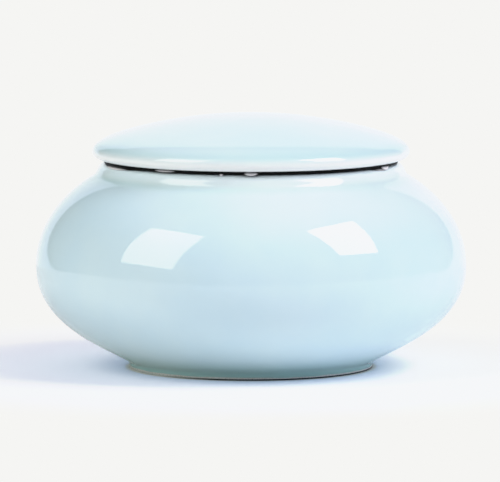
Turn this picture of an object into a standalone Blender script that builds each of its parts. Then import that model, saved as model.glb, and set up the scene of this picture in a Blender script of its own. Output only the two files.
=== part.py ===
"""A squat lidded porcelain urn with a pale blue celadon glaze.

Three turned pieces stand on one upright axis: the hollow jar on its foot ring, a soft seal ring that
lies on the jar's lip, and a low domed lid whose flange reaches down into the mouth.
Units are metres, +Z is up, and the origin is the centre of the foot ring's flat underside.
"""

import math

import bpy
from mathutils import Vector

# Belly: the widest circle, and its height above the table.
BELLY_RADIUS = 0.0648
BELLY_HEIGHT = 0.0304

# Collar and lip: the short wall round the mouth, which rolls over at the top and leans out below.
COLLAR_RADIUS = 0.0464
LIP_HEIGHT = 0.0620
LIP_ROUND = 0.0034
LIP_INNER_ROUND = 0.0008
COLLAR_LEAN = math.radians(18.0)
NECK_FILLET = 0.0036
COLLAR_WALL = 0.0050
SHOULDER_SLOPE = math.radians(31.5)

# Foot ring and base.
FOOT_RADIUS = 0.0366
FOOT_RING_WIDTH = 0.0037
FOOT_EDGE_ROUND = 0.0004
FOOT_STRAIGHT = 0.0002
FOOT_FILLET = 0.0020
UNDERSIDE_SLOPE = math.radians(31.6)
RECESS_DEPTH = 0.0018
RECESS_FILLET = 0.0010

# Walls of the jar.
JAR_WALL = 0.0036
FLOOR_THICKNESS = 0.0040

# Lid.
LID_OVERHANG = 0.0013
LID_HEIGHT = 0.0135
DOME_RADIUS = 0.1400
RIM_WIDTH = 0.0167
RIM_HEIGHT = 0.0023
RIM_UNDERCUT = 0.0030
LID_WALL = 0.0042
LID_INNER_FILLET = 0.0040
FLANGE_WALL = 0.0032
FLANGE_DEPTH = 0.0056
FLANGE_ROUND = 0.0010

# Seal ring: a flat rim on the lip and a skirt inside the mouth.
SEAL_THICKNESS = 0.0004
SEAL_INSET = 0.0020
SEAL_SKIRT_WALL = 0.0013
SEAL_SKIRT_DEPTH = 0.0032

# Gap kept between pieces that touch.
CLEARANCE = 0.0003

# Fullness of the curves: handle lengths as shares of each curve's rise or run.
SHOULDER_FULLNESS = 0.577
SHOULDER_LEAD = 0.325
UNDERSIDE_FULLNESS = 0.612
UNDERSIDE_LEAD = 0.308
RIM_FULLNESS = 0.395
RIM_LEAD = 0.60
ROUNDING = 0.55

# Facets: segments round the axis, and steps along each curve.
SEGMENTS = 56
LONG_CURVE_STEPS = 8
INNER_CURVE_STEPS = 6
DOME_STEPS = 4
ROUND_STEPS = 2
FILLET_STEPS = 3
RIM_STEPS = 5

# Finishes: linear base colour, roughness.
GLAZE = ((0.62, 0.80, 0.86, 1.0), 0.08)
SEAL_RUBBER = ((0.012, 0.012, 0.014, 1.0), 0.30)


def point(radius, height):
    """A point of a turned profile, in the XZ plane."""
    return Vector((radius, 0.0, height))


def heading(angle):
    """The unit direction at an angle above +X, in the XZ plane."""
    return Vector((math.cos(angle), 0.0, math.sin(angle)))


def arc(centre, radius, start, end, steps):
    """Points along a circular arc, both ends included."""
    angles = [start + (end - start) * i / steps for i in range(steps + 1)]
    return [centre + radius * heading(a) for a in angles]


def curve(controls, steps, inset=0.0):
    """Points along a cubic curve, both ends included, moved inset to the right of its direction."""
    a, handle_a, handle_b, b = controls
    points = []
    for i in range(steps + 1):
        t = i / steps
        s = 1.0 - t
        place = s**3 * a + 3 * s * s * t * handle_a + 3 * s * t * t * handle_b + t**3 * b
        along = s * s * (handle_a - a) + 2 * s * t * (handle_b - handle_a) + t * t * (b - handle_b)
        along.normalize()
        points.append(place + inset * Vector((along.z, 0.0, -along.x)))
    return points


def cut(points, axis, limit):
    """The first stretch of the profile, ended where its coordinate on an axis reaches the limit."""
    kept = [points[0]]
    rising = points[-1][axis] > points[0][axis]
    for a, b in zip(points, points[1:]):
        if (b[axis] >= limit) == rising:
            kept.append(a.lerp(b, (limit - a[axis]) / (b[axis] - a[axis])))
            return kept
        kept.append(b)
    return kept


def lip_centre():
    """The centre of the lip's outer rounding."""
    return point(COLLAR_RADIUS - LIP_ROUND, LIP_HEIGHT - LIP_ROUND)


def neck_centre():
    """The centre of the hollow curve that the lip's rounding runs into."""
    return lip_centre() + (LIP_ROUND + NECK_FILLET) * heading(COLLAR_LEAN)


def shoulder_top():
    """Where the sloping shoulder turns up into the neck's hollow curve."""
    return neck_centre() + NECK_FILLET * heading(3 * math.pi / 2 - SHOULDER_SLOPE)


def underside_end():
    """Where the belly's underside turns down into the foot's fillet."""
    turn = math.pi / 2 - UNDERSIDE_SLOPE
    radius = FOOT_RADIUS + FOOT_FILLET * (1.0 - math.cos(turn))
    height = FOOT_EDGE_ROUND + FOOT_STRAIGHT + FOOT_FILLET * math.sin(turn)
    return point(radius, height)


def shoulder_controls():
    """The outer shoulder, from the neck's hollow curve down to the widest circle."""
    top = shoulder_top()
    widest = point(BELLY_RADIUS, BELLY_HEIGHT)
    lead = SHOULDER_LEAD * (widest.x - top.x)
    rise = SHOULDER_FULLNESS * (top.z - widest.z)
    return top, top + lead * heading(-SHOULDER_SLOPE), widest + point(0.0, rise), widest


def underside_controls():
    """The outer underside, from the widest circle down to the foot's fillet."""
    widest = point(BELLY_RADIUS, BELLY_HEIGHT)
    end = underside_end()
    drop = UNDERSIDE_FULLNESS * (widest.z - end.z)
    lead = UNDERSIDE_LEAD * (widest.x - end.x)
    return widest, widest - point(0.0, drop), end + lead * heading(UNDERSIDE_SLOPE), end


def bore_radius():
    return COLLAR_RADIUS - COLLAR_WALL


def floor_height():
    return RECESS_DEPTH + FLOOR_THICKNESS


def inner_underside():
    """The inner wall from the floor out and up to the widest circle."""
    down = curve(underside_controls(), INNER_CURVE_STEPS, JAR_WALL)
    down.append(down[-1] - BELLY_RADIUS * heading(UNDERSIDE_SLOPE))
    return cut(down, 2, floor_height())[::-1]


def inner_shoulder():
    """The inner wall from the widest circle up and in to the mouth's bore."""
    up = curve(shoulder_controls(), INNER_CURVE_STEPS, JAR_WALL)[::-1]
    up.append(up[-1] - BELLY_RADIUS * heading(-SHOULDER_SLOPE))
    return cut(up, 0, bore_radius())


def lip_profile():
    """The lip, from the bore over its flat top to the collar's leaning outer side."""
    inner = point(bore_radius() + LIP_INNER_ROUND, LIP_HEIGHT - LIP_INNER_ROUND)
    over = arc(inner, LIP_INNER_ROUND, math.pi, math.pi / 2, ROUND_STEPS)
    return over + arc(lip_centre(), LIP_ROUND, math.pi / 2, COLLAR_LEAN, FILLET_STEPS)


def neck_fillet():
    """The hollow curve from the collar's side out onto the shoulder."""
    start = math.pi + COLLAR_LEAN
    end = 3 * math.pi / 2 - SHOULDER_SLOPE
    return arc(neck_centre(), NECK_FILLET, start, end, FILLET_STEPS)


def foot_profile():
    """The foot ring and the recessed base, from the underside's end in to the axis."""
    wall_top = FOOT_EDGE_ROUND + FOOT_STRAIGHT
    fillet = point(FOOT_RADIUS + FOOT_FILLET, wall_top)
    outer = point(FOOT_RADIUS - FOOT_EDGE_ROUND, FOOT_EDGE_ROUND)
    ring_inner = FOOT_RADIUS - FOOT_RING_WIDTH
    inner = point(ring_inner + FOOT_EDGE_ROUND, FOOT_EDGE_ROUND)
    corner = point(ring_inner - RECESS_FILLET, RECESS_DEPTH - RECESS_FILLET)
    start = math.pi / 2 + UNDERSIDE_SLOPE
    profile = arc(fillet, FOOT_FILLET, start, math.pi, FILLET_STEPS)
    profile += arc(outer, FOOT_EDGE_ROUND, 0.0, -math.pi / 2, ROUND_STEPS)
    profile += arc(inner, FOOT_EDGE_ROUND, -math.pi / 2, -math.pi, ROUND_STEPS)
    profile += arc(corner, RECESS_FILLET, 0.0, math.pi / 2, ROUND_STEPS)
    profile.append(point(0.0, RECESS_DEPTH))
    return profile


def jar_profile():
    """The whole jar: floor, inner wall, lip, outer wall, foot and base."""
    profile = [point(0.0, floor_height())]
    profile += inner_underside()
    profile += inner_shoulder()[1:]
    profile += lip_profile()
    profile += neck_fillet()[1:]
    profile += curve(shoulder_controls(), LONG_CURVE_STEPS)[1:]
    profile += curve(underside_controls(), LONG_CURVE_STEPS)[1:]
    profile += foot_profile()[1:]
    return profile


def lid_radius():
    return COLLAR_RADIUS + LID_OVERHANG


def lid_underside():
    return LIP_HEIGHT + CLEARANCE + SEAL_THICKNESS + CLEARANCE


def skirt_outer_radius():
    return bore_radius() - CLEARANCE


def skirt_inner_radius():
    return skirt_outer_radius() - SEAL_SKIRT_WALL


def flange_outer_radius():
    return skirt_inner_radius() - CLEARANCE


def dome_centre():
    """The centre of the lid's dome, on the axis far below it."""
    return point(0.0, lid_underside() + LID_HEIGHT - DOME_RADIUS)


def lid_top():
    """The lid's outer side, from the top of the dome to the foot of its rounded rim."""
    edge_angle = math.asin((lid_radius() - RIM_WIDTH) / DOME_RADIUS)
    dome = arc(dome_centre(), DOME_RADIUS, math.pi / 2, math.pi / 2 - edge_angle, DOME_STEPS)
    brow = dome[-1]
    widest = point(lid_radius(), lid_underside() + RIM_HEIGHT)
    lead = RIM_LEAD * RIM_WIDTH * heading(-edge_angle)
    rise = point(0.0, RIM_FULLNESS * (brow.z - widest.z))
    rim = curve((brow, brow + lead, widest + rise, widest), RIM_STEPS)
    undercut = []
    for i in range(1, FILLET_STEPS + 1):
        turn = math.pi / 2 * i / FILLET_STEPS
        inward = RIM_UNDERCUT * (1.0 - math.cos(turn))
        undercut.append(widest - point(inward, RIM_HEIGHT * math.sin(turn)))
    return dome + rim[1:] + undercut


def lid_flange():
    """The lid's flat underside and its flange, down the outer side and up the inner."""
    outer = flange_outer_radius()
    inner = outer - FLANGE_WALL
    low = lid_underside() - FLANGE_DEPTH + FLANGE_ROUND
    flange = [point(outer, lid_underside())]
    flange += arc(point(outer - FLANGE_ROUND, low), FLANGE_ROUND, 0.0, -math.pi / 2, ROUND_STEPS)
    flange += arc(point(inner + FLANGE_ROUND, low), FLANGE_ROUND, -math.pi / 2, -math.pi, ROUND_STEPS)
    return flange


def lid_hollow():
    """The hollow under the dome, from the flange's inner side in to the axis."""
    inner = flange_outer_radius() - FLANGE_WALL
    radius = DOME_RADIUS - LID_WALL
    edge_angle = math.asin((inner - LID_INNER_FILLET) / radius)
    vault = arc(dome_centre(), radius, math.pi / 2 - edge_angle, math.pi / 2, DOME_STEPS)
    corner = point(inner, vault[0].z)
    start = corner - point(0.0, LID_INNER_FILLET)
    controls = (start, start.lerp(corner, ROUNDING), vault[0].lerp(corner, ROUNDING), vault[0])
    return curve(controls, FILLET_STEPS) + vault[1:]


def lid_profile():
    """The whole lid: dome, rounded rim, underside, flange and hollow."""
    return lid_top() + lid_flange() + lid_hollow()


def seal_profile():
    """The seal ring's closed section: a flat rim with a rounded outer edge, and the skirt."""
    low = LIP_HEIGHT + CLEARANCE
    high = low + SEAL_THICKNESS
    half = SEAL_THICKNESS / 2
    edge = point(COLLAR_RADIUS - SEAL_INSET - half, low + half)
    section = [point(skirt_inner_radius(), high)]
    section += arc(edge, half, math.pi / 2, -math.pi / 2, FILLET_STEPS)
    section.append(point(skirt_outer_radius(), low))
    section.append(point(skirt_outer_radius(), LIP_HEIGHT - SEAL_SKIRT_DEPTH))
    section.append(point(skirt_inner_radius(), LIP_HEIGHT - SEAL_SKIRT_DEPTH))
    return section


def finish_material(name, finish):
    """A Principled material with a base colour and a roughness."""
    colour, roughness = finish
    material = bpy.data.materials.new(name)
    material.use_nodes = True
    shader = material.node_tree.nodes["Principled BSDF"]
    shader.inputs["Base Color"].default_value = colour
    shader.inputs["Roughness"].default_value = roughness
    return material


def turned(name, profile, closed, material, collection):
    """An object whose mesh is a profile, turned a full circle by a Screw modifier."""
    edges = [(i, i + 1) for i in range(len(profile) - 1)]
    if closed:
        edges.append((len(profile) - 1, 0))
    mesh = bpy.data.meshes.new(name)
    mesh.from_pydata([tuple(p) for p in profile], edges, [])
    mesh.materials.append(material)
    obj = bpy.data.objects.new(name, mesh)
    collection.objects.link(obj)
    screw = obj.modifiers.new("turn", "SCREW")
    screw.axis = "Z"
    screw.angle = 2 * math.pi
    screw.steps = SEGMENTS
    screw.render_steps = SEGMENTS
    screw.use_merge_vertices = True
    screw.merge_threshold = 0.00001
    screw.use_smooth_shade = True
    return obj


def main():
    for obj in list(bpy.data.objects):
        bpy.data.objects.remove(obj)
    urn = bpy.data.collections.new("funeral_urn")
    bpy.context.scene.collection.children.link(urn)
    glaze = finish_material("celadon_glaze", GLAZE)
    rubber = finish_material("seal_rubber", SEAL_RUBBER)
    turned("jar", jar_profile(), False, glaze, urn)
    turned("seal_ring", seal_profile(), True, rubber, urn)
    turned("lid", lid_profile(), False, glaze, urn)


main()
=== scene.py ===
# %% [markdown]
# # A squat celadon urn, from its frame to its glaze
# The urn is three turned pieces on one upright axis: a hollow porcelain jar on a low foot ring, a low domed
# lid, and a thin black seal ring that lies between them. The imported model already has each piece at its real
# size, cut into flat facets. This lesson replaces the three with smooth ones of the same shape, gives them a
# glaze, bare clay and silicone, and sets up the small studio whose lamps and paper show in the glaze.
# The model is loaded first, because later sizes are read from it.

import math

import bmesh
import bpy
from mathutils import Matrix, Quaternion, Vector


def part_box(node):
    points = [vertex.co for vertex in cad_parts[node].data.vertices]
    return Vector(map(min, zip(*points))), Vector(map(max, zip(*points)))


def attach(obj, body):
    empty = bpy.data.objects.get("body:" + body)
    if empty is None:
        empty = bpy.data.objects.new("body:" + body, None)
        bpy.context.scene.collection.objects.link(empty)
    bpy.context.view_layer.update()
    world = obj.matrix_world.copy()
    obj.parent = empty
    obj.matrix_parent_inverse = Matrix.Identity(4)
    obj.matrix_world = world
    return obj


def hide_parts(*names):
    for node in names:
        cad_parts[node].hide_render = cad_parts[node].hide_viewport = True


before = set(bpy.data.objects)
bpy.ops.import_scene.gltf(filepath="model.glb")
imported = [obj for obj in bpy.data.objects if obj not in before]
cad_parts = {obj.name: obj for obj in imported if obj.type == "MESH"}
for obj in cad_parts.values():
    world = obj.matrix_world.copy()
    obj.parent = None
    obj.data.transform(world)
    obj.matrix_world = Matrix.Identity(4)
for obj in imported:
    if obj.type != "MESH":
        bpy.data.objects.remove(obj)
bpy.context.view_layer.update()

# %% [markdown]
# ## The camera
# A long lens far away keeps the ellipses of the lid and the foot flat, as they look on a catalogue picture.
# The camera stands a little above the urn and is tipped down until the urn sits in the middle of the frame.
# With the lens and the distance fixed first, every later piece can be compared with the real one at once.

# %% Set the camera
CAMERA_DISTANCE = 2.2
CAMERA_HEIGHT = 0.2623
CAMERA_AIM_HEIGHT = 0.038
LENS_MM = 528.6
SENSOR_MM = 36.0
CAMERA_SHIFT_X = -0.002
CLIP_NEAR = 0.05
CLIP_FAR = 50.0

camera_data = bpy.data.cameras.new("catalogue_camera")
camera_data.lens = LENS_MM
camera_data.sensor_width = SENSOR_MM
camera_data.shift_x = CAMERA_SHIFT_X
camera_data.clip_start = CLIP_NEAR
camera_data.clip_end = CLIP_FAR
camera = bpy.data.objects.new("catalogue_camera", camera_data)
bpy.context.scene.collection.objects.link(camera)
camera.location = (0.0, -CAMERA_DISTANCE, CAMERA_HEIGHT)
tip = math.atan2(CAMERA_HEIGHT - CAMERA_AIM_HEIGHT, CAMERA_DISTANCE)
camera.rotation_euler = (math.pi / 2 - tip, 0.0, 0.0)
bpy.context.scene.camera = camera
print("camera looks down by", round(math.degrees(tip), 2), "degrees")

# %% [markdown]
# ## Sizes
# A turned pot is its profile. These are the sizes that a potter would take off with calipers: the widest
# circle, the collar, the foot ring, the walls.
# The widest circle, the lip, the lid and the bottoms of the flange and the skirt are read from the frame,
# so the smooth pieces can't drift from the solid ones.

# %% Name the sizes
jar_low, jar_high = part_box("jar")
lid_low, lid_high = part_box("lid")

BELLY_RADIUS = jar_high.x
BELLY_HEIGHT = 0.0304
COLLAR_RADIUS = 0.0464
LIP_HEIGHT = jar_high.z
LIP_ROUND = 0.0034
LIP_INNER_ROUND = 0.0008
COLLAR_LEAN = math.radians(18.0)
NECK_FILLET = 0.0036
COLLAR_WALL = 0.0050
SHOULDER_SLOPE = math.radians(31.5)
FOOT_RADIUS = 0.0366
FOOT_RING_WIDTH = 0.0037
FOOT_EDGE_ROUND = 0.0004
FOOT_STRAIGHT = 0.0002
FOOT_FILLET = 0.0020
UNDERSIDE_SLOPE = math.radians(31.6)
RECESS_DEPTH = 0.0018
RECESS_FILLET = 0.0010
SHOULDER_LEAD = 0.325
SHOULDER_FULLNESS = 0.577
UNDERSIDE_LEAD = 0.308
UNDERSIDE_FULLNESS = 0.612
JAR_WALL = 0.0036
FLOOR_THICKNESS = 0.0040
print("jar: widest", round(2000 * BELLY_RADIUS, 1), "mm, lip", round(1000 * LIP_HEIGHT, 2), "mm up")

# %% Name the lid's and the seal's sizes
LID_RADIUS = lid_high.x
LID_TOP = lid_high.z
LID_HEIGHT = 0.0135
LID_UNDERSIDE = LID_TOP - LID_HEIGHT
DOME_RADIUS = 0.1400
RIM_WIDTH = 0.0167
RIM_HEIGHT = 0.0023
RIM_UNDERCUT = 0.0030
RIM_LEAD = 0.60
RIM_FULLNESS = 0.395
LID_WALL = 0.0042
LID_INNER_FILLET = 0.0040
LID_INNER_ROUNDING = 0.55
FLANGE_OUTER_RADIUS = 0.0395
FLANGE_WALL = 0.0032
FLANGE_ROUND = 0.0010
FLANGE_BOTTOM = lid_low.z
SEAL_RADIUS = 0.0444
SEAL_GAP = 0.00003
SKIRT_OUTER_RADIUS = 0.0411
SKIRT_INNER_RADIUS = 0.0398
SKIRT_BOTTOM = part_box("seal_ring")[0].z
print("lid:", round(2000 * LID_RADIUS, 1), "mm across, underside", round(1000 * LID_UNDERSIDE, 2), "mm up")

# %% [markdown]
# ## Drawing a profile
# Two kinds of line draw every profile here: circular arcs for the rounded edges and hollow corners, and cubic
# curves for the long free lines of the belly and the lid. A cubic curve can also be drawn at a distance from
# itself, and that is how a wall keeps its thickness along the whole belly.

# %% Lines of a profile
def heading(angle):
    """The unit direction at an angle above +X, in the plane of the profile."""
    return Vector((math.cos(angle), 0.0, math.sin(angle)))


def at(radius, height):
    return Vector((radius, 0.0, height))


def arc(centre, radius, start, end, steps):
    """Points along a circular arc, both ends included."""
    return [centre + radius * heading(start + (end - start) * i / steps) for i in range(steps + 1)]


def curve(controls, steps, inset=0.0):
    """Points along a cubic curve, both ends included, moved inset to the right of its direction."""
    a, handle_a, handle_b, b = controls
    points = []
    for i in range(steps + 1):
        t = i / steps
        s = 1.0 - t
        place = s**3 * a + 3 * s * s * t * handle_a + 3 * s * t * t * handle_b + t**3 * b
        along = s * s * (handle_a - a) + 2 * s * t * (handle_b - handle_a) + t * t * (b - handle_b)
        along.normalize()
        points.append(place + inset * Vector((along.z, 0.0, -along.x)))
    return points


def cut(points, axis, limit):
    """The first stretch of a line, ended where its coordinate on an axis reaches the limit."""
    kept = [points[0]]
    rising = points[-1][axis] > points[0][axis]
    for a, b in zip(points, points[1:]):
        if (b[axis] >= limit) == rising:
            kept.append(a.lerp(b, (limit - a[axis]) / (b[axis] - a[axis])))
            return kept
        kept.append(b)
    return kept


LONG_STEPS = 44
FILLET_STEPS = 10
ROUND_STEPS = 7
print("a long curve has", LONG_STEPS, "steps, a fillet", FILLET_STEPS)

# %% [markdown]
# ## Turning a profile
# On the real urn the plaster mould was turned on a lathe, so every section across it is a circle.
# In Blender the same thing is a spin: the profile becomes a chain of edges in a bmesh, and one operator
# turns it a full circle and merges its last ring with its first.
# The ends on the axis then fall into one point each, which closes the
# poles, and the normals are turned outwards once at the end.

# %% Spin a profile
MERGE_DISTANCE = 0.000001
TURN_SEGMENTS = 288


def turned(name, profile, closed=False, segments=TURN_SEGMENTS):
    """A mesh object made by turning a profile round the upright axis."""
    shape = bmesh.new()
    dots = [shape.verts.new(p) for p in profile]
    edges = [shape.edges.new(pair) for pair in zip(dots, dots[1:])]
    if closed:
        edges.append(shape.edges.new((dots[-1], dots[0])))
    bmesh.ops.spin(shape, geom=dots + edges, cent=(0, 0, 0), axis=(0, 0, 1), angle=2 * math.pi,
                   steps=segments, use_merge=True, use_duplicate=False)
    bmesh.ops.remove_doubles(shape, verts=shape.verts, dist=MERGE_DISTANCE)
    bmesh.ops.recalc_face_normals(shape, faces=shape.faces)
    for face in shape.faces:
        face.smooth = True
    mesh = bpy.data.meshes.new(name)
    shape.to_mesh(mesh)
    shape.free()
    piece = bpy.data.objects.new(name, mesh)
    bpy.context.scene.collection.objects.link(piece)
    print(name, "has", sum(len(f.vertices) - 2 for f in mesh.polygons), "triangles")
    return piece


print("a full turn has", TURN_SEGMENTS, "segments")

# %% [markdown]
# ## The jar's outer line
# From the lip the line rolls over onto a short collar, turns out through a soft hollow onto the shoulder,
# swells to the widest circle and comes back under it to the foot.
# Shoulder and underside are one cubic curve each and share
# an upright tangent at the widest circle, so light runs over the belly without a crease.

# %% Shoulder and underside
lip_centre = at(COLLAR_RADIUS - LIP_ROUND, LIP_HEIGHT - LIP_ROUND)
neck_centre = lip_centre + (LIP_ROUND + NECK_FILLET) * heading(COLLAR_LEAN)
neck_end = 3 * math.pi / 2 - SHOULDER_SLOPE


def shoulder_controls():
    top = neck_centre + NECK_FILLET * heading(neck_end)
    widest = at(BELLY_RADIUS, BELLY_HEIGHT)
    lead = SHOULDER_LEAD * (widest.x - top.x)
    rise = SHOULDER_FULLNESS * (top.z - widest.z)
    return top, top + lead * heading(-SHOULDER_SLOPE), widest + at(0.0, rise), widest


def underside_controls():
    turn = math.pi / 2 - UNDERSIDE_SLOPE
    widest = at(BELLY_RADIUS, BELLY_HEIGHT)
    end = at(FOOT_RADIUS + FOOT_FILLET * (1.0 - math.cos(turn)),
             FOOT_EDGE_ROUND + FOOT_STRAIGHT + FOOT_FILLET * math.sin(turn))
    drop = UNDERSIDE_FULLNESS * (widest.z - end.z)
    lead = UNDERSIDE_LEAD * (widest.x - end.x)
    return widest, widest - at(0.0, drop), end + lead * heading(UNDERSIDE_SLOPE), end


def lip_and_neck():
    """From the mouth's bore over the lip and down through the hollow of the neck."""
    bore = COLLAR_RADIUS - COLLAR_WALL
    inner = at(bore + LIP_INNER_ROUND, LIP_HEIGHT - LIP_INNER_ROUND)
    line = arc(inner, LIP_INNER_ROUND, math.pi, math.pi / 2, ROUND_STEPS)
    line += arc(lip_centre, LIP_ROUND, math.pi / 2, COLLAR_LEAN, FILLET_STEPS)
    return line + arc(neck_centre, NECK_FILLET, math.pi + COLLAR_LEAN, neck_end, FILLET_STEPS)[1:]


print("shoulder starts", round(1000 * shoulder_controls()[0].x, 2), "mm from the axis")

# %% [markdown]
# ## The foot
# The jar stands on a narrow ring that the glaze stops short of, because glaze would stick to the kiln shelf.
# Inside the ring the base is hollowed by less than two millimetres.
# The hollow is what lets the urn stand on a table that
# isn't quite flat.

# %% Foot ring and base
def foot_line():
    """From the underside's end round the foot ring and in to the axis."""
    ring_inner = FOOT_RADIUS - FOOT_RING_WIDTH
    fillet = at(FOOT_RADIUS + FOOT_FILLET, FOOT_EDGE_ROUND + FOOT_STRAIGHT)
    outer = at(FOOT_RADIUS - FOOT_EDGE_ROUND, FOOT_EDGE_ROUND)
    inner = at(ring_inner + FOOT_EDGE_ROUND, FOOT_EDGE_ROUND)
    corner = at(ring_inner - RECESS_FILLET, RECESS_DEPTH - RECESS_FILLET)
    line = arc(fillet, FOOT_FILLET, math.pi / 2 + UNDERSIDE_SLOPE, math.pi, FILLET_STEPS)
    line += arc(outer, FOOT_EDGE_ROUND, 0.0, -math.pi / 2, ROUND_STEPS)
    line += arc(inner, FOOT_EDGE_ROUND, -math.pi / 2, -math.pi, ROUND_STEPS)
    line += arc(corner, RECESS_FILLET, 0.0, math.pi / 2, ROUND_STEPS)
    return line + [at(0.0, RECESS_DEPTH)]


print("foot ring", round(1000 * FOOT_RING_WIDTH, 1), "mm wide")
print("base hollowed", round(1000 * RECESS_DEPTH, 1), "mm")

# %% [markdown]
# ## The jar's inside
# Slip casting leaves a wall of even thickness, so the inside is the outer line drawn again, one wall
# further in. It ends on a flat floor below and at the mouth's straight bore above.

# %% The whole jar
def jar_inside():
    """From the floor out and up the inner wall to the mouth's bore."""
    floor = RECESS_DEPTH + FLOOR_THICKNESS
    down = curve(underside_controls(), LONG_STEPS, JAR_WALL)
    down.append(down[-1] - BELLY_RADIUS * heading(UNDERSIDE_SLOPE))
    up = curve(shoulder_controls(), LONG_STEPS, JAR_WALL)[::-1]
    up.append(up[-1] - BELLY_RADIUS * heading(-SHOULDER_SLOPE))
    lower = cut(down, 2, floor)[::-1]
    return [at(0.0, floor)] + lower + cut(up, 0, COLLAR_RADIUS - COLLAR_WALL)[1:]


jar_line = jar_inside() + lip_and_neck()
jar_line += curve(shoulder_controls(), LONG_STEPS)[1:]
jar_line += curve(underside_controls(), LONG_STEPS)[1:]
jar_line += foot_line()[1:]
glazed_jar = turned("glazed_jar", jar_line)
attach(glazed_jar, "root")
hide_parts("jar")

# %% [markdown]
# ## The lid
# The lid is a shallow dome that turns over a full, soft rim and tucks back under it, so that a finger
# can lift it anywhere.
# Below it a flange reaches down inside the mouth and keeps the lid from sliding off.
# Its hollow follows the dome, one wall further in.

# %% The lid's upper side
RIM_STEPS = 30
DOME_STEPS = 14


def lid_top():
    """From the top of the dome over the rim and under it."""
    dome_centre = at(0.0, LID_TOP - DOME_RADIUS)
    edge_angle = math.asin((LID_RADIUS - RIM_WIDTH) / DOME_RADIUS)
    line = arc(dome_centre, DOME_RADIUS, math.pi / 2, math.pi / 2 - edge_angle, DOME_STEPS)
    brow = line[-1]
    widest = at(LID_RADIUS, LID_UNDERSIDE + RIM_HEIGHT)
    lead = RIM_LEAD * RIM_WIDTH * heading(-edge_angle)
    rise = at(0.0, RIM_FULLNESS * (brow.z - widest.z))
    line += curve((brow, brow + lead, widest + rise, widest), RIM_STEPS)[1:]
    for i in range(1, FILLET_STEPS + 1):
        turn = math.pi / 2 * i / FILLET_STEPS
        line.append(widest - at(RIM_UNDERCUT * (1.0 - math.cos(turn)), RIM_HEIGHT * math.sin(turn)))
    return line


print("lid rim stands", round(1000 * (LID_RADIUS - COLLAR_RADIUS), 1), "mm proud of the collar")

# %% The lid's flange and hollow
def lid_inside():
    """Down the flange's outer side, up its inner side and along the hollow to the axis."""
    inner = FLANGE_OUTER_RADIUS - FLANGE_WALL
    low = FLANGE_BOTTOM + FLANGE_ROUND
    line = [at(FLANGE_OUTER_RADIUS, LID_UNDERSIDE)]
    line += arc(at(FLANGE_OUTER_RADIUS - FLANGE_ROUND, low), FLANGE_ROUND, 0.0, -math.pi / 2, ROUND_STEPS)
    line += arc(at(inner + FLANGE_ROUND, low), FLANGE_ROUND, -math.pi / 2, -math.pi, ROUND_STEPS)
    radius = DOME_RADIUS - LID_WALL
    edge_angle = math.asin((inner - LID_INNER_FILLET) / radius)
    vault = arc(at(0.0, LID_TOP - DOME_RADIUS), radius, math.pi / 2 - edge_angle, math.pi / 2, DOME_STEPS)
    corner = at(inner, vault[0].z)
    start = corner - at(0.0, LID_INNER_FILLET)
    low_handle = start.lerp(corner, LID_INNER_ROUNDING)
    high_handle = vault[0].lerp(corner, LID_INNER_ROUNDING)
    return line + curve((start, low_handle, high_handle, vault[0]), FILLET_STEPS) + vault[1:]


glazed_lid = turned("glazed_lid", lid_top() + lid_inside())
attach(glazed_lid, "root")
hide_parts("lid")

# %% [markdown]
# ## The seal ring
# A black silicone ring keeps the lid tight and quiet. Its section is a flat rim that ends in a soft bead,
# which fills the seam, and a skirt inside the mouth.
# Silicone is poured, so the bead isn't perfect: it has a few short
# blisters that stand out a little, each with a painted glint, a pale colour at its core.
# Each is one row of a small table: where it sits round the ring,
# how high, how long, how swollen and how bright its painted glint is.

# %% Turn the seal ring
SEAL_SEGMENTS = 1152
BEAD_STEPS = 16
seal_low = LIP_HEIGHT + SEAL_GAP
seal_high = LID_UNDERSIDE - SEAL_GAP
seal_middle = (seal_low + seal_high) / 2
bead = (seal_high - seal_low) / 2


def seal_line():
    """The closed section: rim, rounded bead, and the skirt's two sides."""
    line = [at(SKIRT_INNER_RADIUS, seal_high)]
    line += arc(at(SEAL_RADIUS - bead, seal_middle), bead, math.pi / 2, -math.pi / 2, BEAD_STEPS)
    line.append(at(SKIRT_OUTER_RADIUS, seal_low))
    line.append(at(SKIRT_OUTER_RADIUS, SKIRT_BOTTOM))
    return line + [at(SKIRT_INNER_RADIUS, SKIRT_BOTTOM)]


seal_ring = turned("silicone_seal", seal_line(), closed=True, segments=SEAL_SEGMENTS)
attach(seal_ring, "root")
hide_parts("seal_ring")

# %% Raise the blisters and paint their glints
# round the ring in degrees from the front, height from the bead's middle, half length, half height,
# swell, strength of the painted glint
BLISTERS = (
    (0.0, 0.00026, 0.0021, 0.00046, 1.00, 1.00),
    (-35.0, 0.00026, 0.0038, 0.00034, 0.60, 0.70),
    (-11.3, -0.00030, 0.0006, 0.00034, 0.60, 0.95),
    (-65.0, -0.00050, 0.0083, 0.00042, 1.00, 0.80),
    (63.0, -0.00002, 0.0026, 0.00030, 0.90, 1.00),
    (60.3, -0.00052, 0.0043, 0.00030, 1.00, 0.55),
)
BLISTER_LIFT = 0.0012
BLISTER_SAG = 0.0007
BLISTER_MARGIN = 1.7
SAG_START = COLLAR_RADIUS - LIP_ROUND

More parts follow.
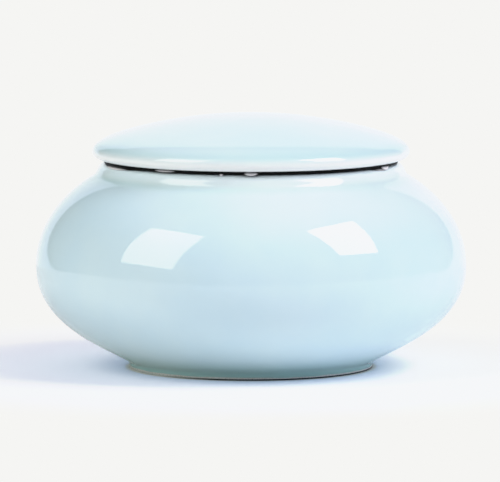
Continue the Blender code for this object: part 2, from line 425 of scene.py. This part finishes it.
painted_glint = seal_ring.data.attributes.new("painted_glint", "FLOAT", "POINT")
raised = 0
for vertex in seal_ring.data.vertices:
    x, y, z = vertex.co
    radius = math.hypot(x, y)
    if radius < SEAL_RADIUS - bead:
        continue
    round_ring = math.degrees(math.atan2(x, -y))
    glint = 0.0
    for turn, rise, half_length, half_height, swell, glint_strength in BLISTERS:
        along = math.radians(round_ring - turn) * SEAL_RADIUS / (BLISTER_MARGIN * half_length)
        across = (z - seal_middle - rise) / (BLISTER_MARGIN * half_height)
        spread = along * along + across * across
        if spread < 1.0:
            lift = BLISTER_LIFT * swell * (1.0 - spread) ** 2
            vertex.co += lift * Vector((x, y, 0.0)) / radius
            hanging = min(1.0, max(0.0, (radius + lift - SAG_START) / BLISTER_LIFT))
            vertex.co.z -= BLISTER_SAG * hanging * lift / BLISTER_LIFT
            core = min(1.0, spread * BLISTER_MARGIN ** 2)
            # painted glint: a pale colour at each blister's core stands in for a highlight
            glint = max(glint, glint_strength * (1.0 - core ** 2))
            raised += 1
    painted_glint.data[vertex.index].value = glint
print("blisters:", len(BLISTERS), "over", raised, "vertices")

# %% [markdown]
# ## Writing a material as arithmetic
# A material is a graph of nodes. Writing it node by node hides what it means, so a small class wraps a node's
# output and overloads plus, minus and times: 1 - mask is then one Math node. Every other node comes from one
# method that is told the node's type, its settings and what goes into its sockets.

# %% A class for sockets and one for finishes
BUMP_DISTANCE = 0.00001


class Flow:
    """One output of a node, usable in arithmetic on values."""

    def __init__(self, finish, socket):
        self.finish = finish
        self.socket = socket

    def _math(self, operation, first, second):
        return self.finish.add("ShaderNodeMath", {"operation": operation}, {0: first, 1: second})

    def __add__(self, other):
        return self._math("ADD", self, other)

    def __radd__(self, other):
        return self._math("ADD", other, self)

    def __sub__(self, other):
        return self._math("SUBTRACT", self, other)

    def __rsub__(self, other):
        return self._math("SUBTRACT", other, self)

    def __mul__(self, other):
        return self._math("MULTIPLY", self, other)

    def __rmul__(self, other):
        return self._math("MULTIPLY", other, self)


class Finish:
    """A node material with a Principled shader, and the methods that add nodes to it."""

    def __init__(self, name, **plain):
        self.material = bpy.data.materials.new(name)
        self.material.use_nodes = True
        self.tree = self.material.node_tree
        self.shader = self.tree.nodes["Principled BSDF"]
        for socket, value in plain.items():
            self.shader.inputs[socket.replace("_", " ")].default_value = value
        self.place = self.add("ShaderNodeTexCoord", {}, {}, "Object")

    def put(self, socket, value):
        """Sets a socket to a plain value, or links a flow to it."""
        if isinstance(value, Flow):
            self.tree.links.new(value.socket, socket)
        else:
            socket.default_value = value

    def add(self, kind, settings, sockets, output=0):
        """Any node: its settings first, then its sockets by name or number; returns one output."""
        node = self.tree.nodes.new(kind)
        for key, value in settings.items():
            setattr(node, key, value)
        for key, value in sockets.items():
            self.put(node.inputs[key], value)
        return Flow(self, node.outputs[output])

    def shade(self, **sockets):
        """Feeds the Principled shader's sockets."""
        for socket, value in sockets.items():
            self.put(self.shader.inputs[socket.replace("_", " ")], value)

    def noise(self, scale, detail=2.0, roughness=0.5):
        """A noise value from 0 to 1, with its grain in features to the metre."""
        sockets = {"Vector": self.place, "Scale": scale, "Detail": detail, "Roughness": roughness}
        return self.add("ShaderNodeTexNoise", {}, sockets, "Fac")

    def ramp(self, value, low, high):
        """0 below low, 1 above high, smooth between."""
        settings = {"interpolation_type": "SMOOTHSTEP"}
        sockets = {"Value": value, "From Min": low, "From Max": high}
        return self.add("ShaderNodeMapRange", settings, sockets, "Result")

    def mix(self, share, first, second):
        """Two colours mixed by a share."""
        return self.add("ShaderNodeMix", {"data_type": "RGBA"}, {0: share, 6: first, 7: second}, 2)

    def height(self):
        return self.add("ShaderNodeSeparateXYZ", {}, {0: self.place}, "Z")

    def across(self):
        return self.add("ShaderNodeSeparateXYZ", {}, {0: self.place}, "X")

    def radius(self):
        """Distance from the upright axis."""
        flat = self.add("ShaderNodeVectorMath", {"operation": "MULTIPLY"}, {0: self.place, 1: (1, 1, 0)})
        return self.add("ShaderNodeVectorMath", {"operation": "LENGTH"}, {0: flat}, "Value")

    def bump(self, height):
        """A normal that follows a height, over a very small distance."""
        sockets = {"Height": height, "Distance": BUMP_DISTANCE, "Strength": 1.0}
        return self.add("ShaderNodeBump", {}, sockets, "Normal")

    def cover(self, shader):
        """Shows another shader in place of the Principled one."""
        self.put(self.tree.nodes["Material Output"].inputs["Surface"], shader)


print("materials are written as arithmetic on sockets")

# %% [markdown]
# ## The celadon glaze
# Celadon is a pale, slightly green-blue glass over white porcelain. Where it lies thick it is bluer, where it
# runs into a hollow it is deeper and greener, and where it thins over an edge the white clay shows through.
# So the colour is mixed from four by masks that follow the height and the radius of the piece, with a slow
# drift over the belly that no fired glaze is free of.
# The bare clay of the foot has a fine grain, and a painted contact shadow, a near-black colour, at
# its very bottom that grows towards the right. The gloss comes from the shader's own reflection; a very small
# bump keeps the reflections from being those of a machined ball.

# %% The glaze's colours and masks
THICK_GLAZE = (0.585, 0.765, 0.865, 1.0)
SOFT_GLAZE = (0.64, 0.80, 0.865, 1.0)
POOLED_GLAZE = (0.35, 0.58, 0.56, 1.0)
# the white of thin glaze, and also the colour of the painted light on the right of the jar's shoulder
THIN_GLAZE_AND_LIGHT = (0.94, 0.935, 0.925, 1.0)
BARE_CLAY = (0.66, 0.67, 0.65, 1.0)
CLAY_GRAIN = (0.50, 0.49, 0.47, 1.0)
# painted contact shadow: near-black on the bare clay's lowest half millimetre, fading in towards the right
PAINTED_CONTACT_SHADOW = (0.015, 0.018, 0.022, 1.0)
CONTACT_SHADOW_HEIGHT = 0.00052
CONTACT_SHADOW_SOLID = 0.7 * CONTACT_SHADOW_HEIGHT
CONTACT_SHADOW_START = -0.030
CONTACT_SHADOW_FULL = -0.008
GLAZE_IOR = 1.52
DRIFT_SHARE = 0.6
CLOUD_SHARE = 0.25
GLAZE_ROUGHNESS = 0.035
ROUGHNESS_DRIFT = 0.03
CLAY_ROUGHNESS = 0.8
PEEL_SHARE = 0.03
CLAY_RELIEF = 2.0

# a noise is its grains to the metre, its detail, and its roughness where that isn't a half
DRIFT_NOISE = (26.0, 2.0)
CLOUD_NOISE = (90.0, 3.0, 0.6)
GRAIN_NOISE = (2600.0, 2.0, 0.6)
SHEEN_NOISE = (140.0, 2.0)
PEEL_NOISE = (420.0, 1.0)
SWELL_NOISE = (55.0, 1.0)

# the part of a noise's values over which its mask goes from 0 to 1
DRIFT_RANGE = (0.35, 0.65)
CLOUD_RANGE = (0.3, 0.7)
GRAIN_RANGE = (0.4, 0.75)


def glaze(name, pooled, thinned_and_lit, bare):
    """A glaze whose pools, thin edges, painted light and bare clay are masks worked out from height, radius
    and side.
    """
    finish = Finish(name, Metallic=0.0, IOR=GLAZE_IOR)
    z = finish.height()
    r = finish.radius()
    drift = finish.ramp(finish.noise(*DRIFT_NOISE), *DRIFT_RANGE)
    cloud = finish.ramp(finish.noise(*CLOUD_NOISE), *CLOUD_RANGE)
    colour = finish.mix(drift * DRIFT_SHARE + cloud * CLOUD_SHARE, THICK_GLAZE, SOFT_GLAZE)
    colour = finish.mix(pooled(finish, z, r), colour, POOLED_GLAZE)
    colour = finish.mix(thinned_and_lit(finish, z, r), colour, THIN_GLAZE_AND_LIGHT)
    grain = finish.noise(*GRAIN_NOISE)
    clay = finish.mix(finish.ramp(grain, *GRAIN_RANGE), BARE_CLAY, CLAY_GRAIN)
    # painted contact shadow at the foot's very bottom, growing towards the right
    low = finish.ramp(z, CONTACT_SHADOW_HEIGHT, CONTACT_SHADOW_SOLID)
    contact_shadow = low * finish.ramp(finish.across(), CONTACT_SHADOW_START, CONTACT_SHADOW_FULL)
    clay = finish.mix(contact_shadow, clay, PAINTED_CONTACT_SHADOW)
    bare_mask = bare(finish, z, r)
    finish.shade(Base_Color=finish.mix(bare_mask, colour, clay))
    sheen = GLAZE_ROUGHNESS + ROUGHNESS_DRIFT * finish.noise(*SHEEN_NOISE)
    finish.shade(Roughness=sheen + bare_mask * CLAY_ROUGHNESS)
    peel = finish.noise(*PEEL_NOISE) * PEEL_SHARE + finish.noise(*SWELL_NOISE)
    surface = peel * (1.0 - bare_mask) + grain * bare_mask * CLAY_RELIEF
    finish.shade(Normal=finish.bump(surface))
    return finish.material


print("glaze colours:", THICK_GLAZE[:3], "to", POOLED_GLAZE[:3])

# %% [markdown]
# ## Where the glaze pools, thins and stops
# On the jar it pools in the hollow under the collar and in the hollow above the foot, thins over the lip, and
# stops in a slightly wavy line just above the table. The top of its shoulder is whitened towards the right as
# painted light.
# On the lid it thins over the lower edge of the rim, and the
# flange's end is bare, since the lid stood on it in the kiln.

# %% Where each mask begins and ends
GLAZE_LINE = 0.00085
GLAZE_LINE_SOFTNESS = 0.00006
GLAZE_LINE_WAVE = 0.0009
LINE_NOISE = (70.0, 2.0)
RING_INNER_RADIUS = FOOT_RADIUS - FOOT_RING_WIDTH
RING_SOFTNESS = 0.0001

# a band's middle and half width
NECK_POOL = (0.0584, 0.0024)
RIM_POOL = (LID_UNDERSIDE + 0.0045, 0.0035)

# the heights, or for a side the radii or distances to the right, where a mask is 0 and where it is 1
NECK_POOL_SIDE = (0.044, 0.0455)
FOOT_POOL = (0.0006, 0.0075)
LIP_THIN = (LIP_HEIGHT - 0.0046, LIP_HEIGHT - 0.0026)
# painted light: the shoulder's top made whiter towards the right
SHOULDER_PAINTED_LIGHT = (0.040, 0.054)
SHOULDER_PAINTED_LIGHT_SIDE = (-0.045, 0.020)
RIM_POOL_SIDE = (0.0435, 0.0472)
RIM_THIN = (LID_UNDERSIDE + 0.0010, LID_UNDERSIDE + 0.0044)
RIM_THIN_SIDE = (0.0400, 0.0420)
FLANGE_GLAZE = (FLANGE_BOTTOM + 0.0009, FLANGE_BOTTOM + 0.0011)

# how much of the other glaze each mask mixes in
NECK_POOL_SHARE = 0.30
FOOT_POOL_SHARE = 0.9
LIP_THIN_SHARE = 0.22
SHOULDER_PAINTED_LIGHT_SHARE = 0.20
RIM_POOL_SHARE = 0.25
RIM_THIN_SHARE = 0.95
print("the glaze stops", round(1000 * GLAZE_LINE, 2), "mm above the table")

# %% Masks for the jar and the lid
def band(finish, value, centre, half):
    """1 at a height or radius, falling smoothly to 0 half away from it."""
    away = finish.add("ShaderNodeMath", {"operation": "ABSOLUTE"}, {0: value - centre})
    return 1.0 - finish.ramp(away, 0.0, half)


def line_wave(finish):
    """How far the edge of the glaze wanders up and down."""
    return (finish.noise(*LINE_NOISE) - 0.5) * GLAZE_LINE_WAVE


def jar_pools(finish, z, r):
    neck = band(finish, z, *NECK_POOL) * finish.ramp(r, *NECK_POOL_SIDE)
    foot = 1.0 - finish.ramp(z, *FOOT_POOL)
    return neck * NECK_POOL_SHARE + foot * FOOT_POOL_SHARE


# the lip's thin glaze, and painted light on the right of the shoulder's top
def jar_thin_and_lit(finish, z, r):
    lip = finish.ramp(z, *LIP_THIN) * LIP_THIN_SHARE
    lit_shoulder = finish.ramp(z, *SHOULDER_PAINTED_LIGHT) * finish.ramp(finish.across(), *SHOULDER_PAINTED_LIGHT_SIDE)
    return lip + lit_shoulder * SHOULDER_PAINTED_LIGHT_SHARE


def jar_bare(finish, z, r):
    wave = line_wave(finish)
    low = 1.0 - finish.ramp(z + wave, GLAZE_LINE - GLAZE_LINE_SOFTNESS, GLAZE_LINE + GLAZE_LINE_SOFTNESS)
    return low * finish.ramp(r + wave, RING_INNER_RADIUS - RING_SOFTNESS, RING_INNER_RADIUS + RING_SOFTNESS)


def lid_pools(finish, z, r):
    return finish.ramp(r, *RIM_POOL_SIDE) * band(finish, z, *RIM_POOL) * RIM_POOL_SHARE


def lid_thin(finish, z, r):
    edge = 1.0 - finish.ramp(z, *RIM_THIN)
    return edge * finish.ramp(r, *RIM_THIN_SIDE) * RIM_THIN_SHARE


def lid_bare(finish, z, r):
    return 1.0 - finish.ramp(z + line_wave(finish), *FLANGE_GLAZE)


glazed_jar.data.materials.append(glaze("celadon_jar", jar_pools, jar_thin_and_lit, jar_bare))
glazed_lid.data.materials.append(glaze("celadon_lid", lid_pools, lid_thin, lid_bare))
print("finished:", glazed_jar.name, "and", glazed_lid.name)

# %% [markdown]
# ## The silicone
# Silicone is black all through with a soft skin that picks up dust.
# Its roughness drifts a little, a fine grain
# breaks up the shine, and the blisters read the painted glint that was stored on the mesh.

# %% Finish the seal ring
RUBBER = (0.001, 0.001, 0.001, 1.0)
RUBBER_DUST = (0.008, 0.008, 0.009, 1.0)
BLISTER_GLINT = (0.86, 0.84, 0.87, 1.0)
RUBBER_IOR = 1.42
RUBBER_SPECULAR = 0.15
RUBBER_ROUGHNESS = 0.40
RUBBER_ROUGHNESS_DRIFT = 0.18
DUST_NOISE = (900.0, 3.0, 0.7)
DUST_RANGE = (0.55, 0.8)
RUBBER_SHEEN_NOISE = (300.0, 2.0)
RUBBER_GRAIN_NOISE = (1500.0, 2.0)

silicone = Finish("black_silicone", Metallic=0.0, IOR=RUBBER_IOR, Specular_IOR_Level=RUBBER_SPECULAR)
glint = silicone.add("ShaderNodeAttribute", {"attribute_name": "painted_glint"}, {}, "Fac")
dust = silicone.ramp(silicone.noise(*DUST_NOISE), *DUST_RANGE)
skin = silicone.mix(dust, RUBBER, RUBBER_DUST)
# the blisters' pale colour is a painted glint
silicone.shade(Base_Color=silicone.mix(glint, skin, BLISTER_GLINT))
silicone.shade(Roughness=RUBBER_ROUGHNESS + RUBBER_ROUGHNESS_DRIFT * silicone.noise(*RUBBER_SHEEN_NOISE))
silicone.shade(Normal=silicone.bump(silicone.noise(*RUBBER_GRAIN_NOISE)))
seal_ring.data.materials.append(silicone.material)
print("finished:", seal_ring.name)

# %% [markdown]
# ## The table and the paper
# A glaze is half colour and half what it mirrors, so the studio is modelled too.
# The urn stands on white paper that runs back along the table and then curves up behind it;
# its upright edges are the bright bands along the sides of the belly,
# and its top is the soft line across the lid. The picture itself only shows a pale plane
# under the urn. So the plane is seen by the camera alone, and the paper, at the same place, is seen by
# everything else.

# %% The pale floor that the camera sees
FLOOR_RADIUS = 12.0
FLOOR_NEAR = 0.075
FLOOR_FAR = 0.14
PALE = (1.053, 1.012, 0.945, 1.0)
PALE_STRENGTH = 1.0
FLOOR_TINT = (0.93, 0.89, 0.83, 1.0)
FILL_LEFT = (0.07, 0.11, 0.24, 1.0)
FILL_RIGHT = (0.15, 0.17, 0.17, 1.0)
FILL_TURN_START = 0.034
FILL_TURN_END = 0.054
FILL_GAP = 0.0025
NO_FILL = (0.0, 0.0, 0.0, 1.0)


def stage_piece(name, shape, material):
    """An object of the studio, which isn't part of the urn."""
    mesh = bpy.data.meshes.new(name)
    shape.to_mesh(mesh)
    shape.free()
    mesh.materials.append(material)
    piece = bpy.data.objects.new(name, mesh)
    bpy.context.scene.collection.objects.link(piece)
    return piece


floor_finish = Finish("pale_floor", Base_Color=FLOOR_TINT, Roughness=1.0, Specular_IOR_Level=0.0,
                      Emission_Strength=1.0)
# The floor's emission is painted fill light, lavender on the left and whiter on the right; it stops at the
# foot, which leaves a painted contact shadow there.
from_axis = floor_finish.radius()
to_right = floor_finish.across()
fill = floor_finish.mix(floor_finish.ramp(to_right, FILL_TURN_START, FILL_TURN_END), FILL_LEFT, FILL_RIGHT)
clear_of_foot = floor_finish.ramp(from_axis, FOOT_RADIUS, FOOT_RADIUS + FILL_GAP)
floor_finish.shade(Emission_Color=floor_finish.mix(clear_of_foot, NO_FILL, fill))
glow = floor_finish.add("ShaderNodeEmission", {}, {"Color": PALE, "Strength": PALE_STRENGTH})
far = floor_finish.ramp(from_axis, FLOOR_NEAR, FLOOR_FAR)
matt = Flow(floor_finish, floor_finish.shader.outputs[0])
blended = floor_finish.add("ShaderNodeMixShader", {}, {0: far, 1: matt, 2: glow})
floor_finish.cover(blended)

disc = bmesh.new()
bmesh.ops.create_circle(disc, cap_ends=True, segments=128, radius=FLOOR_RADIUS)
pale_floor = stage_piece("pale_floor", disc, floor_finish.material)
pale_floor.visible_diffuse = False
pale_floor.visible_glossy = False
pale_floor.visible_shadow = False
print("floor is", 2 * FLOOR_RADIUS, "m across")

# %% The paper that the glaze mirrors
PAPER_LEFT = -0.50
PAPER_RIGHT = 0.56
PAPER_BEND_START = 0.31
PAPER_BEND = 0.65
PAPER_TOP = 1.10
PAPER_CORNER = 0.80
PAPER_DROOP = 2.0
PAPER_STRIPS = 24
PAPER_DROP = 0.0002
PAPER_BEND_STEPS = 12
PAPER_WHITE = (0.92, 0.92, 0.92, 1.0)
PAPER_FILL = (0.05, 0.08, 0.12, 1.0)
PAPER_FILL_START = -0.03
PAPER_FILL_END = 0.05
PAPER_SHADE = (0.78, 0.86, 1.02, 1.0)
PAPER_LIGHT = (1.06, 1.10, 1.13, 1.0)
PAPER_CLEAR = -0.20
TABLE_LEFT = -1.60
TABLE_RIGHT = 1.10
TABLE_FRONT = -0.80

paper_finish = Finish("paper_flat", Base_Color=PAPER_WHITE, Roughness=1.0, Specular_IOR_Level=0.0,
                      Emission_Strength=1.0)
filled = paper_finish.ramp(paper_finish.across(), PAPER_FILL_START, PAPER_FILL_END)
paper_finish.shade(Emission_Color=paper_finish.mix(filled, NO_FILL, PAPER_FILL))
lit_paper = Finish("paper_upright")
brighter = lit_paper.ramp(lit_paper.across(), PAPER_LEFT, PAPER_CLEAR)
paper_tint = lit_paper.mix(brighter, PAPER_SHADE, PAPER_LIGHT)
paper_glow = lit_paper.add("ShaderNodeEmission", {}, {"Color": paper_tint, "Strength": 1.0})
lit_paper.cover(paper_glow)


def paper_sheet(name, line, left, right, material):
    """A sheet of paper: a line from front to back, extruded across its width in strips."""
    sheet = bmesh.new()
    dots = [sheet.verts.new((left, y, z)) for y, z in line]
    edges = [sheet.edges.new(pair) for pair in zip(dots, dots[1:])]
    for strip in range(PAPER_STRIPS):
        wide = bmesh.ops.extrude_edge_only(sheet, edges=edges)
        moved = [v for v in wide["geom"] if isinstance(v, bmesh.types.BMVert)]
        edges = [e for e in wide["geom"] if isinstance(e, bmesh.types.BMEdge)]
        bmesh.ops.translate(sheet, verts=moved, vec=((right - left) / PAPER_STRIPS, 0, 0))
    for dot in sheet.verts:
        if dot.co.z > PAPER_CORNER:
            dot.co.z = max(PAPER_CORNER, PAPER_TOP - PAPER_DROOP * dot.co.x ** 2)
    stage_piece(name, sheet, material).visible_camera = False


leans = [math.pi / 2 * i / PAPER_BEND_STEPS for i in range(PAPER_BEND_STEPS + 1)]
bend = [(PAPER_BEND_START + PAPER_BEND * math.sin(a), PAPER_BEND * (1.0 - math.cos(a)) - PAPER_DROP)
        for a in leans]
flat = [(TABLE_FRONT, -PAPER_DROP), bend[0]]
upright = bend + [(PAPER_BEND_START + PAPER_BEND, PAPER_TOP)]
paper_sheet("paper_flat", flat, TABLE_LEFT, TABLE_RIGHT, paper_finish.material)
paper_sheet("paper_upright", upright, PAPER_LEFT, PAPER_RIGHT, lit_paper.material)
print("paper rises", PAPER_BEND_START + PAPER_BEND, "m behind the urn")

# %% [markdown]
# ## The room and the softboxes
# Around the paper is a dim room, darker on the left, that fills the shadows.
# Two softboxes stand in front of the
# urn, one on each side; their reflections are the two tilted bright patches on the belly.
# Their places and sizes
# were worked out backwards, from where a mirror ray from the camera goes at each corner of a patch.

# %% The dim room
ROOM_RADIUS = 7.0
ROOM_LEFT = (0.075, 0.090, 0.075, 1.0)
ROOM_RIGHT = (0.46, 0.43, 0.48, 1.0)
ROOM_CEILING = (0.50, 0.49, 0.53, 1.0)
ROOM_TURN = 0.6 * ROOM_RADIUS
CEILING_START = 0.45 * ROOM_RADIUS
CEILING_FULL = 0.95 * ROOM_RADIUS

room_finish = Finish("dim_room")
side = room_finish.across()
up = room_finish.height()
walls = room_finish.mix(room_finish.ramp(side, -ROOM_TURN, ROOM_TURN), ROOM_LEFT, ROOM_RIGHT)
shell = room_finish.mix(room_finish.ramp(up, CEILING_START, CEILING_FULL), walls, ROOM_CEILING)
room_glow = room_finish.add("ShaderNodeEmission", {}, {"Color": shell, "Strength": 1.0})
room_finish.cover(room_glow)
ball = bmesh.new()
bmesh.ops.create_uvsphere(ball, u_segments=48, v_segments=24, radius=ROOM_RADIUS)
room = stage_piece("dim_room", ball, room_finish.material)
room.visible_camera = False
print("room is", 2 * ROOM_RADIUS, "m across")

# %% The two softboxes
LAMP_LEFT = {
    "centre": (-1.250, -0.729, 1.070),
    "facing": (0.634, 0.664, -0.396),
    "roll": -6.3,
    "width": 1.027,
    "height": 1.292,
    "colour": (1.0, 0.99, 0.91),
    "radiance": 4.2,
}
LAMP_RIGHT = {
    "centre": (1.226, -0.549, 1.198),
    "facing": (-0.584, 0.126, -0.802),
    "roll": -16.4,
    "width": 0.772,
    "height": 1.039,
    "colour": (0.97, 0.99, 1.02),
    "radiance": 7.5,
}


def softbox(name, centre, facing, roll, width, height, colour, radiance):
    """An area lamp of a given size and brightness; its power follows from both."""
    data = bpy.data.lights.new(name, "AREA")
    data.shape = "RECTANGLE"
    data.size = width
    data.size_y = height
    data.color = colour
    data.energy = radiance * math.pi * width * height
    lamp = bpy.data.objects.new(name, data)
    bpy.context.scene.collection.objects.link(lamp)
    lamp.location = centre
    aim = Vector(facing).to_track_quat("-Z", "Y")
    lamp.rotation_euler = (aim @ Quaternion((0.0, 0.0, 1.0), math.radians(roll))).to_euler()
    lamp.visible_camera = False
    print(name, "gives", round(data.energy, 1), "W")


softbox("softbox_left", **LAMP_LEFT)
softbox("softbox_right", **LAMP_RIGHT)

# %% [markdown]
# ## The backdrop and the tone of the picture
# Beyond the floor the camera sees a plain pale world. It lights nothing, because the room encloses the urn.
# The picture's white is a shade below full white, a little less so in blue,
# so each colour's tone curve stops there.

# %% The world and the tone curve
WHITE_LEVELS = (0.915, 0.930, 0.945)
TONE_BEND = 0.86
TONE_END = 1.06

world = bpy.data.worlds.new("pale_backdrop")
world.use_nodes = True
world.node_tree.nodes["Background"].inputs["Color"].default_value = PALE
world.node_tree.nodes["Background"].inputs["Strength"].default_value = PALE_STRENGTH
bpy.context.scene.world = world
view = bpy.context.scene.view_settings
view.view_transform = "Standard"
view.look = "None"
view.use_curve_mapping = True
tone = view.curve_mapping
tone.extend = "HORIZONTAL"
for channel, level in zip(tone.curves, WHITE_LEVELS):
    channel.points[0].location = (0.0, 0.0)
    channel.points[1].location = (TONE_END, level)
    channel.points.new(TONE_BEND, TONE_BEND).handle_type = "VECTOR"
tone.update()
print("red, green and blue are held at", WHITE_LEVELS)
